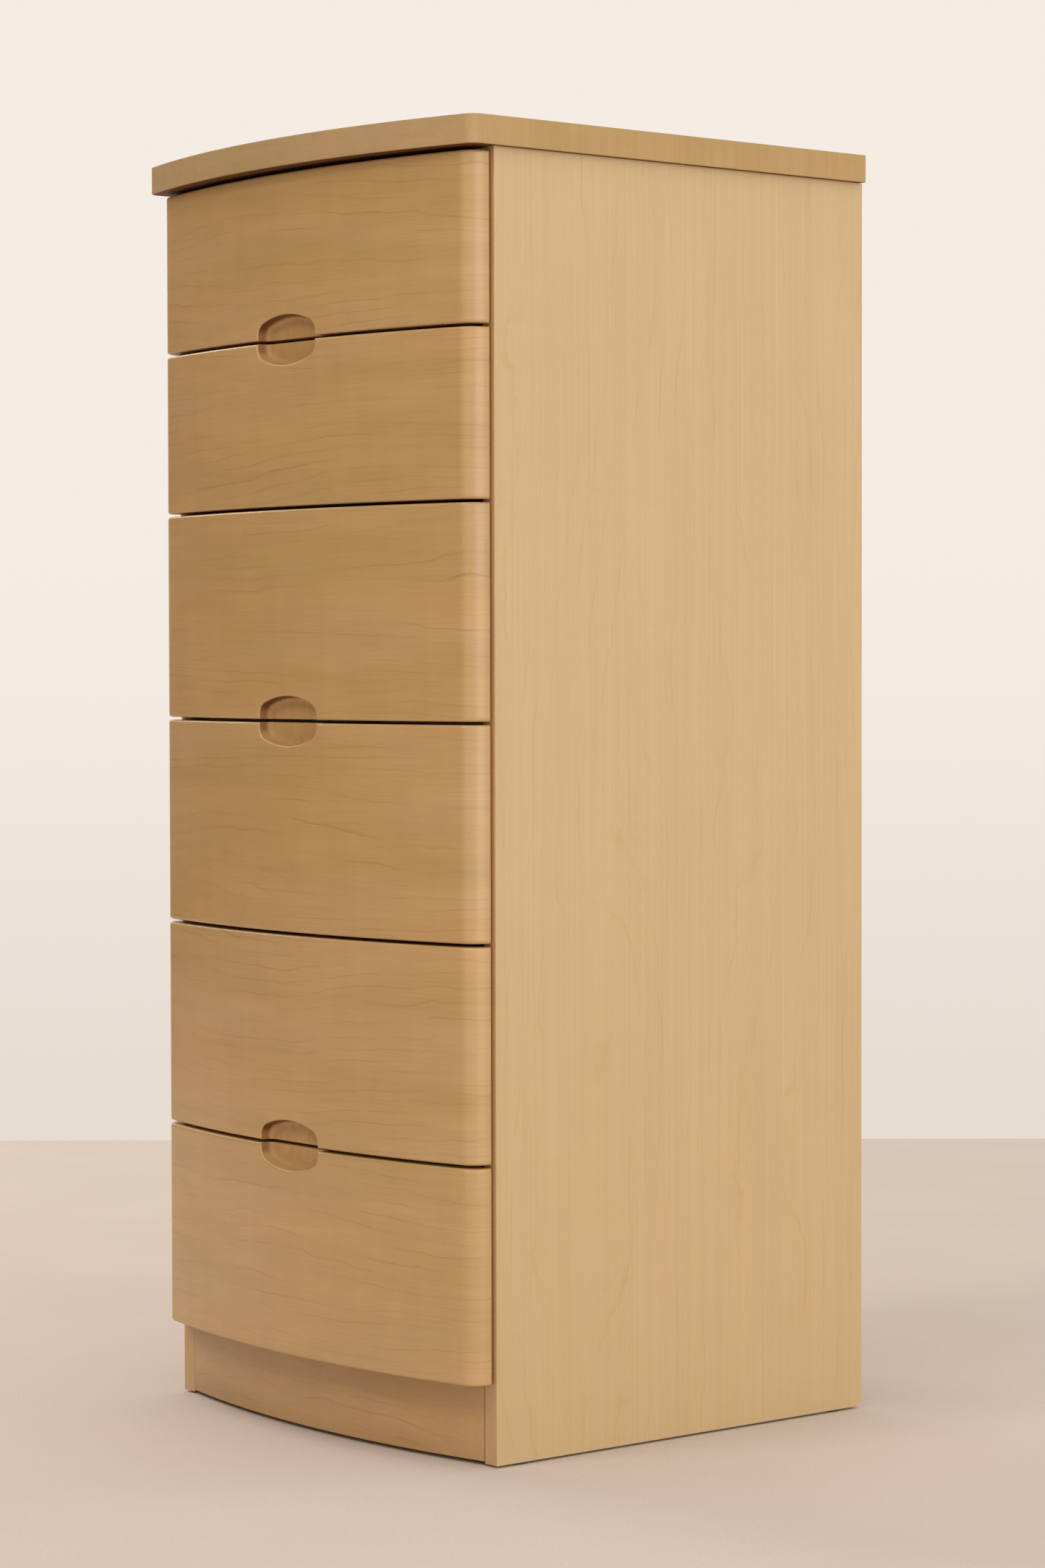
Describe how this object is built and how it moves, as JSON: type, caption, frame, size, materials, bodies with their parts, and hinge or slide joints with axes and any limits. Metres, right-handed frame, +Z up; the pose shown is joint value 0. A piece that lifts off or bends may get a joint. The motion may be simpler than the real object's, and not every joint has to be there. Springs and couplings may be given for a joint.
{
  "type": "tall chest of drawers",
  "caption": "Tall narrow chest of drawers with bowed fronts, scooped finger pulls, a bowed overhanging top and a recessed bowed plinth.",
  "frame": {"origin": "on the floor, under the middle of the chest's bounding box", "axes": "+Z up, -Y towards the drawer fronts, +X to the right of a person who stands in front of the chest and faces it"},
  "size_m": [0.47, 0.4786, 1.112],
  "materials": {
    "side_board": "satin maple-effect laminate, grain upright",
    "top_board": "satin maple-effect laminate, grain side to side",
    "edge_band": "satin maple-effect edging strip",
    "drawer_front": "satin maple-effect foil, grain side to side",
    "plinth_board": "satin maple-effect laminate, grain side to side",
    "inner_board": "matt laminate on particle board",
    "hardboard": "smooth bare hardboard",
    "runner": "waxed hardwood strip",
    "glide": "moulded plastic"
  },
  "bodies": {
    "carcass": {"top_panel": "top_board", "top_edge_front": "edge_band", "top_edge_left": "edge_band", "top_edge_right": "edge_band", "side_panel_left": "side_board", "side_panel_right": "side_board", "plinth_front": "plinth_board", "plinth_back": "inner_board", "base_panel": "inner_board", "rail_top_front": "inner_board", "rail_top_back": "inner_board", "rail_middle": "inner_board", "back_panel": "hardboard", "glide_front_left": "glide", "glide_front_right": "glide", "glide_back_left": "glide", "glide_back_right": "glide", "runner_1_left": "runner", "runner_1_right": "runner", "runner_2_left": "runner", "runner_2_right": "runner", "runner_3_left": "runner", "runner_3_right": "runner", "runner_4_left": "runner", "runner_4_right": "runner", "runner_5_left": "runner", "runner_5_right": "runner", "runner_6_left": "runner", "runner_6_right": "runner"},
    "drawer_1": {"drawer_1_front": "drawer_front", "drawer_1_side_left": "inner_board", "drawer_1_side_right": "inner_board", "drawer_1_back": "inner_board", "drawer_1_bottom": "hardboard"},
    "drawer_2": {"drawer_2_front": "drawer_front", "drawer_2_side_left": "inner_board", "drawer_2_side_right": "inner_board", "drawer_2_back": "inner_board", "drawer_2_bottom": "hardboard"},
    "drawer_3": {"drawer_3_front": "drawer_front", "drawer_3_side_left": "inner_board", "drawer_3_side_right": "inner_board", "drawer_3_back": "inner_board", "drawer_3_bottom": "hardboard"},
    "drawer_4": {"drawer_4_front": "drawer_front", "drawer_4_side_left": "inner_board", "drawer_4_side_right": "inner_board", "drawer_4_back": "inner_board", "drawer_4_bottom": "hardboard"},
    "drawer_5": {"drawer_5_front": "drawer_front", "drawer_5_side_left": "inner_board", "drawer_5_side_right": "inner_board", "drawer_5_back": "inner_board", "drawer_5_bottom": "hardboard"},
    "drawer_6": {"drawer_6_front": "drawer_front", "drawer_6_side_left": "inner_board", "drawer_6_side_right": "inner_board", "drawer_6_back": "inner_board", "drawer_6_bottom": "hardboard"}
  },
  "joints": [
    {"name": "drawer_1_slide", "type": "slide", "parent": "carcass", "child": "drawer_1", "axis": [0, -1, 0], "range_m": [0, 0.3]},
    {"name": "drawer_2_slide", "type": "slide", "parent": "carcass", "child": "drawer_2", "axis": [0, -1, 0], "range_m": [0, 0.3]},
    {"name": "drawer_3_slide", "type": "slide", "parent": "carcass", "child": "drawer_3", "axis": [0, -1, 0], "range_m": [0, 0.3]},
    {"name": "drawer_4_slide", "type": "slide", "parent": "carcass", "child": "drawer_4", "axis": [0, -1, 0], "range_m": [0, 0.3]},
    {"name": "drawer_5_slide", "type": "slide", "parent": "carcass", "child": "drawer_5", "axis": [0, -1, 0], "range_m": [0, 0.3]},
    {"name": "drawer_6_slide", "type": "slide", "parent": "carcass", "child": "drawer_6", "axis": [0, -1, 0], "range_m": [0, 0.3]}
  ]
}
